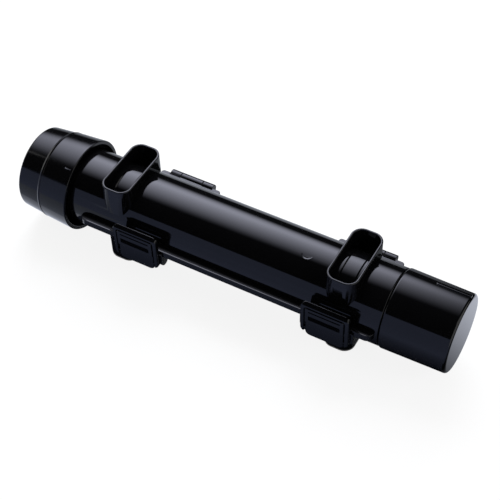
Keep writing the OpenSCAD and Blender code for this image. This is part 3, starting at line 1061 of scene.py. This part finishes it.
@dataclass(frozen=True)
class Knob:
    """The flared knob: an open skirt over the neck and a closed cap behind its seam."""

    layout: Layout
    rim_r: float = 32.1
    seam_r: float = 30.6
    end_r: float = 28.5
    wall: float = 2.5
    step: float = 0.5
    end_edge_r: float = 1.2
    web_t: float = 2.5
    spigot_r: float = 23.5
    spigot_wall: float = 2.0
    spigot_len: float = 8.0
    screw_bore_r: float = 2.1
    lip_wall: float = 2.0
    mark_len: float = 4.4
    mark_w: float = 1.0
    mark_h: float = 0.32
    mark_angle: float = 30.0

    def skirt(self) -> Shape:
        """The open half, with its web and the spigot that closes the bore."""
        place = self.layout
        web, spigot_end = place.web_x, place.rim_x + self.spigot_len
        recess = self.seam_r - self.wall
        inner = self.spigot_r - self.spigot_wall
        skirt = Shape.revolved(
            [
                (self.screw_bore_r, web - self.web_t, 0.0),
                (recess, web - self.web_t, 0.0),
                (recess, place.seam_x, 0.2),
                (self.seam_r, place.seam_x, 0.35),
                (self.rim_r, place.rim_x, 0.7),
                (self.rim_r - self.wall, place.rim_x, 0.5),
                (recess, web, 0.8),
                (self.spigot_r, web, 0.6),
                (self.spigot_r, spigot_end, 0.5),
                (inner, spigot_end, 0.3),
                (inner, web, 0.6),
                (self.screw_bore_r, web, 0.0),
            ],
            256,
        )
        return skirt.joined(self._mark())

    def _mark(self) -> Shape:
        """The raised dash near the rim."""
        x1 = self.layout.rim_x - 2.0
        half = self.mark_w / 2.0
        slope = (self.rim_r - self.seam_r) * 4.5 / (self.layout.rim_x - self.layout.seam_x)
        foot, base = self.rim_r - slope, self.rim_r - self.wall / 2.0
        outline = [(-half, base), (half, base), (half, foot), (0.0, foot + self.mark_h), (-half, foot)]
        return Shape.extruded(outline, Plane.SECTION, (x1 - self.mark_len, x1)).turned(self.mark_angle)

    def cap(self) -> Shape:
        """The closed half, a little smaller than the skirt at the seam."""
        place = self.layout
        wide = self.seam_r - self.step
        lip = self.seam_r - self.wall - place.gap / 2.0
        lip_end = place.web_x - self.web_t - 0.5
        closed = place.closed_x
        return Shape.revolved(
            [
                (0.0, closed, 0.0),
                (self.end_r, closed, self.end_edge_r),
                (wide, place.seam_x - 2.0, 0.4),
                (wide + 0.6, place.seam_x - 0.95, 0.2),
                (wide + 0.1, place.seam_x - 0.15, 0.15),
                (lip, place.seam_x - 0.15, 0.0),
                (lip, lip_end, 0.2),
                (lip - self.lip_wall, lip_end, 0.2),
                (lip - self.lip_wall, place.seam_x - 0.15, 0.0),
                (self.end_r - self.wall, closed + self.wall, 1.0),
                (0.0, closed + self.wall, 0.0),
            ],
            256,
        )

    def build(self, bench: Bench) -> None:
        """Builds and delivers both halves."""
        bench.deliver(self.skirt(), "flared_knob_skirt", "knob_skirt", Body.PLUNGER, Slot.KNOB)
        bench.deliver(self.cap(), "closed_knob_cap", "knob_cap", Body.PLUNGER, Slot.KNOB)


@dataclass(frozen=True)
class Plunger:
    """The ribbed rod, its screw and the piston that pushes the roll."""

    layout: Layout
    piston_front: float = 93.0
    piston_len: float = 11.0
    piston_r: float = 23.5
    piston_wall: float = 2.4
    socket_r: float = 5.0
    socket_wall: float = 2.4
    rod_w: float = 16.0
    rod_rib: float = 2.4
    discs: int = 4
    disc_t: float = 1.8
    core_r: float = 3.5
    head_r: float = 9.0
    head_t: float = 2.5
    screw_r: float = 1.8
    screw_bite: float = 14.0
    screw_head_r: float = 4.0
    screw_head_t: float = 2.6

    @property
    def piston_back(self) -> float:
        """Rear face of the piston."""
        return self.piston_front - self.piston_len

    def rod(self) -> Shape:
        """Four ribs about a core, stiffened by discs, with a head and a stub."""
        web, back, gap = self.layout.web_x, self.piston_back, self.layout.gap
        half, rib = self.rod_w / 2.0, self.rod_rib / 2.0
        stub = back + self.piston_len - self.piston_wall - gap
        pitch = (back - web) / (self.discs + 1)
        middles = [web + pitch * (k + 1) for k in range(self.discs)]
        spans = [(x - self.disc_t / 2.0, x + self.disc_t / 2.0) for x in middles] + [(back - self.disc_t, back)]
        ribs = [
            Shape.block((web, back), (-half, half), (-rib, rib)).turned(turn).eased(0.3, lambda p: True, 2)
            for turn in (0.0, 90.0)
        ]
        rod = Shape.rod(self.core_r, (web, back)).joined(
            Shape.rod(self.head_r, (web, web + self.head_t), edge=0.4),
            Shape.rod(self.socket_r, (back - 1.0, stub), edge=0.4),
            *ribs,
            *[Shape.rod(half, span, edge=0.3) for span in spans],
        )
        return rod.cut(Shape.rod(self.screw_r + self.layout.pin_gap, (web - 1.0, web + self.screw_bite + gap)))

    def screw(self) -> Shape:
        """The cross-recessed screw that holds the rod to the knob's web."""
        web = self.layout.web_x
        head = web - 2.5
        body = Shape.revolved(
            [
                (0.0, head - self.screw_head_t, 0.0),
                (self.screw_head_r, head - self.screw_head_t, 0.9),
                (self.screw_head_r, head, 0.1),
                (self.screw_r, head, 0.0),
                (self.screw_r, web + self.screw_bite, 0.5),
                (0.0, web + self.screw_bite, 0.0),
            ],
            64,
        )
        x0 = head - self.screw_head_t
        recesses = [Shape.block((x0 - 1.0, x0 + 1.4), (-2.4, 2.4), (-0.4, 0.4)).turned(turn) for turn in (0.0, 90.0)]
        return body.cut(*recesses)

    def piston(self) -> Shape:
        """The cup-shaped face that pushes the roll."""
        front, back = self.piston_front, self.piston_back
        floor = front - self.piston_wall
        hole = self.socket_r + self.layout.pin_gap
        inner = self.piston_r - self.piston_wall
        return Shape.revolved(
            [
                (0.0, front, 0.0),
                (self.piston_r, front, 0.5),
                (self.piston_r, back, 0.4),
                (inner, back, 0.3),
                (inner, floor, 0.8),
                (hole + self.socket_wall - 0.05, floor, 0.5),
                (hole + self.socket_wall - 0.05, back, 0.3),
                (hole, back, 0.3),
                (hole, floor, 0.0),
                (0.0, floor, 0.0),
            ]
        )

    def build(self, bench: Bench) -> None:
        """Builds and delivers the three pieces."""
        bench.deliver(self.rod(), "ribbed_push_rod", "push_rod", Body.PLUNGER, Slot.SHELL)
        bench.deliver(self.screw(), "cross_recessed_screw", "rod_screw", Body.PLUNGER, Slot.PIN)
        bench.deliver(self.piston(), "cup_piston", "piston", Body.PLUNGER, Slot.SHELL)


# ----------------------------------------------------------------------------- studio


@dataclass(frozen=True)
class Camera:
    """The photograph's viewpoint."""

    place: tuple[float, float, float] = (0.26828, -0.44485, 0.61358)
    turn: tuple[float, float, float] = (0.72348, 0.02111, 0.50689)
    lens: float = 86.154

    def build(self) -> bpy.types.Object:
        """Returns the camera, set as the scene's."""
        data = bpy.data.cameras.new("camera")
        data.lens = self.lens
        data.sensor_width = 36.0
        data.clip_start, data.clip_end = 0.02, 20.0
        camera = bpy.data.objects.new("camera", data)
        bpy.context.scene.collection.objects.link(camera)
        camera.location = self.place
        camera.rotation_euler = self.turn
        bpy.context.scene.camera = camera
        return camera


@dataclass(frozen=True)
class SoftBox:
    """A rectangular studio lamp aimed at the part."""

    name: str
    place: tuple[float, float, float]
    aim: tuple[float, float, float]
    size: Span
    power: float
    color: tuple[float, float, float] = (1.0, 1.0, 1.0)

    def build(self) -> bpy.types.Object:
        """Returns the lamp."""
        data = bpy.data.lights.new(self.name, "AREA")
        data.shape = "RECTANGLE"
        data.size, data.size_y = self.size
        data.energy = self.power
        data.color = self.color
        lamp = bpy.data.objects.new(self.name, data)
        bpy.context.scene.collection.objects.link(lamp)
        lamp.location = self.place
        look = Vector(self.aim) - Vector(self.place)
        lamp.rotation_euler = look.to_track_quat("-Z", "Y").to_euler()
        lamp.visible_glossy = False
        return lamp


class Way(Enum):
    """Ways across a card, in its own coordinates."""

    ACROSS = "X"
    UP = "Y"


@dataclass(frozen=True)
class Fade:
    """A smooth fade of a card, between two distances from its middle in metres.

    A fade that leans comes sooner towards the card's right by that share of the way across.
    """

    way: Way
    dark: float
    bright: float
    lean: float = 0.0


@dataclass(frozen=True)
class ReflectorCard:
    """A board beside the set that only the part's polished faces see."""

    name: str
    place: tuple[float, float, float]
    aim: tuple[float, float, float]
    size: Span = (1.0, 1.0)
    level: tuple[float, float, float] = (0.0, 0.0, 0.0)
    strength: float = 1.0
    fades: tuple[Fade, ...] = ()

    def _surface(self) -> bpy.types.Material:
        """Returns the card's own light, brought down by each of its fades."""
        material = bpy.data.materials.new(self.name)
        tree = NodeTree(material)
        face = tree.add("ShaderNodeEmission", Color=(*self.level, 1.0), Strength=self.strength)
        where = tree.add("ShaderNodeTexCoord")
        split = tree.add("ShaderNodeSeparateXYZ")
        tree.link(where.outputs["Object"], split.inputs[0])
        left = None
        for fade in self.fades:
            ramp = tree.add("ShaderNodeMapRange", From_Min=fade.dark, From_Max=fade.bright)
            ramp.interpolation_type = "SMOOTHSTEP"
            slant = tree.add("ShaderNodeMath")
            slant.operation = "MULTIPLY_ADD"
            slant.inputs[1].default_value = fade.lean
            tree.link(split.outputs["X"], slant.inputs[0])
            tree.link(split.outputs[fade.way.value], slant.inputs[2])
            tree.link(slant.outputs[0], ramp.inputs["Value"])
            share = tree.add("ShaderNodeMath")
            share.operation = "MULTIPLY"
            share.inputs[0].default_value = self.strength
            if left is not None:
                tree.link(left, share.inputs[0])
            tree.link(ramp.outputs["Result"], share.inputs[1])
            left = share.outputs[0]
        if left is not None:
            tree.link(left, face.inputs["Strength"])
        tree.link(face.outputs[0], tree.output.inputs["Surface"])
        return material

    def build(self) -> bpy.types.Object:
        """Returns the card."""
        mesh = bpy.data.meshes.new(self.name)
        bm = bmesh.new()
        bmesh.ops.create_grid(bm, x_segments=1, y_segments=1, size=0.5)
        bmesh.ops.scale(bm, vec=(*self.size, 1.0), verts=bm.verts)
        bm.to_mesh(mesh)
        bm.free()
        card = bpy.data.objects.new(self.name, mesh)
        bpy.context.scene.collection.objects.link(card)
        card.location = self.place
        look = Vector(self.aim) - Vector(self.place)
        card.rotation_euler = look.to_track_quat("Z", "Y").to_euler()
        mesh.materials.append(self._surface())
        card.visible_camera = card.visible_diffuse = card.visible_shadow = False
        card.visible_transmission = card.visible_volume_scatter = False
        return card


@dataclass(frozen=True)
class FloorSheet(ReflectorCard):
    """A sheet laid on the floor, its ways along the world's axes."""

    aim: tuple[float, float, float] = (0.0, 0.0, 1.0)

    def build(self) -> bpy.types.Object:
        """Returns the sheet."""
        sheet = super().build()
        sheet.rotation_euler = (0.0, 0.0, 0.0)
        return sheet


@dataclass(frozen=True)
class Studio:
    """A pale floor, soft lamps, cards for the reflections and a white room round them."""

    floor_half: float = 6.0
    floor_color: tuple[float, float, float] = (0.8, 0.8, 0.8)
    glow: float = 0.87
    shade: tuple[float, float, float] = (0.2, 0.2, 0.2)
    room_level: float = 0.25
    lamps: tuple[SoftBox, ...] = (
        SoftBox("back_softbox", (-0.34, 0.78, 0.78), (0.0, 0.0, 0.03), (0.9, 1.15), 16.0, (0.93, 0.95, 1.0)),
        SoftBox("end_softbox", (1.2, 0.1, 0.7), (0.15, 0.0, 0.03), (0.6, 0.5), 3.0),
    )
    cards: tuple[ReflectorCard, ...] = (
        ReflectorCard(
            "back_diffuser", (-0.356, 0.669, 0.803), (-0.356, 0.0, 0.06), (2.6, 3.3), (0.81, 0.83, 1.0), 6.8,
            (Fade(Way.UP, 1.15, -0.36, 0.8), Fade(Way.UP, -0.68, -0.06),
             Fade(Way.ACROSS, -1.2, 0.0), Fade(Way.ACROSS, 0.57, 0.12)),
        ),
        ReflectorCard("overhead_flag", (-0.3, -0.66, 0.72), (-0.3, 0.0, 0.03), (2.4, 1.05)),
        ReflectorCard("low_back_flag", (-0.15, 0.30, 0.047), (-0.15, 0.0, 0.047), (1.6, 0.086)),
        ReflectorCard("front_board", (-0.3, -0.52, 0.155), (-0.3, 0.0, 0.155), (1.8, 0.31), (0.31, 0.36, 0.57)),
        # Glossy-only dim floor in front of the part; its fade darkens it towards the part as painted shadow of the
        # part on the floor, seen only in reflections.
        FloorSheet(
            "front_sheet_painted_shadow", (-0.3, -0.27, 0.0015), size=(1.8, 0.52), level=(0.31, 0.36, 0.57),
            fades=(Fade(Way.UP, 0.255, 0.16),),
        ),
        FloorSheet("knob_sheet", (-0.285, -0.0885, 0.002), size=(0.32, 0.083), level=(0.4, 0.44, 0.55)),
        FloorSheet("seam_sheet", (-0.225, -0.017, 0.002), size=(0.2, 0.06), level=(0.75, 0.8, 0.95)),
        FloorSheet(
            "back_sheet", (-0.2, 0.29, 0.0015), size=(1.3, 0.62), level=(0.52, 0.55, 0.62),
            fades=(Fade(Way.UP, 0.41, -0.14), Fade(Way.ACROSS, 0.37, 0.2), Fade(Way.ACROSS, -0.22, 0.08)),
        ),
        # Glossy-only bright sheet that the cap's end face reflects; its fade darkens it towards the part's front as
        # painted shadow of the part on the floor.
        FloorSheet(
            "end_sheet_painted_shadow", (0.175, 0.03, 0.002), size=(0.05, 0.16), level=(1.0, 1.05, 1.2),
            fades=(Fade(Way.UP, -0.065, 0.035),),
        ),
    )

    def _floor(self) -> bpy.types.Object:
        """Returns the floor, white to the lens and shaded by the part."""
        mesh = bpy.data.meshes.new("floor")
        bm = bmesh.new()
        bmesh.ops.create_grid(bm, x_segments=1, y_segments=1, size=self.floor_half)
        bm.to_mesh(mesh)
        bm.free()
        floor = bpy.data.objects.new("floor", mesh)
        bpy.context.scene.collection.objects.link(floor)
        material = bpy.data.materials.new("floor")
        tree = NodeTree(material)
        paper = tree.add("ShaderNodeBsdfDiffuse", Color=(*self.floor_color, 1.0))
        glow = tree.add("ShaderNodeEmission", Color=(1.0, 1.0, 1.0, 1.0), Strength=self.glow)
        shade = tree.add("ShaderNodeBsdfDiffuse", Color=(*self.shade, 1.0))
        both = tree.add("ShaderNodeAddShader")
        mix = tree.add("ShaderNodeMixShader")
        tree.link(glow.outputs[0], both.inputs[0])
        tree.link(shade.outputs[0], both.inputs[1])
        tree.link(tree.shown_to_lenses(), mix.inputs[0])
        tree.link(paper.outputs[0], mix.inputs[1])
        tree.link(both.outputs[0], mix.inputs[2])
        tree.link(mix.outputs[0], tree.output.inputs["Surface"])
        mesh.materials.append(material)
        return floor

    def _room(self) -> None:
        """Sets the world: white to the lens, dim to the rest."""
        world = bpy.data.worlds.new("room")
        bpy.context.scene.world = world
        tree = NodeTree(world, "ShaderNodeOutputWorld")
        air = tree.add("ShaderNodeBackground", Color=(1.0, 1.0, 1.0, 1.0), Strength=self.room_level)
        white = tree.add("ShaderNodeBackground", Color=(1.0, 1.0, 1.0, 1.0), Strength=1.0)
        mix = tree.add("ShaderNodeMixShader")
        tree.link(tree.shown_to_lenses(), mix.inputs[0])
        tree.link(air.outputs[0], mix.inputs[1])
        tree.link(white.outputs[0], mix.inputs[2])
        tree.link(mix.outputs[0], tree.output.inputs["Surface"])

    def build(self) -> None:
        """Makes the floor, the room, the lamps, the cards and the camera."""
        bpy.context.scene.view_settings.view_transform = "Standard"
        self._floor()
        self._room()
        for fitting in (*self.lamps, *self.cards):
            fitting.build()
        Camera().build()


def main() -> None:
    """Builds each sub-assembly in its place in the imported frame, and the studio round them."""
    logging.basicConfig(level=logging.INFO, format="%(name)s: %(message)s")
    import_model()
    layout = Layout()
    bench = Bench(layout, Finishes())
    HalfShells(layout).build(bench)
    Pins(layout).build(bench)
    for side in Side:
        Latch(layout, side).build(bench)
    EndCap(layout).build(bench)
    Knob(layout).build(bench)
    Plunger(layout).build(bench)
    Studio().build()


if __name__ == "__main__":
    main()
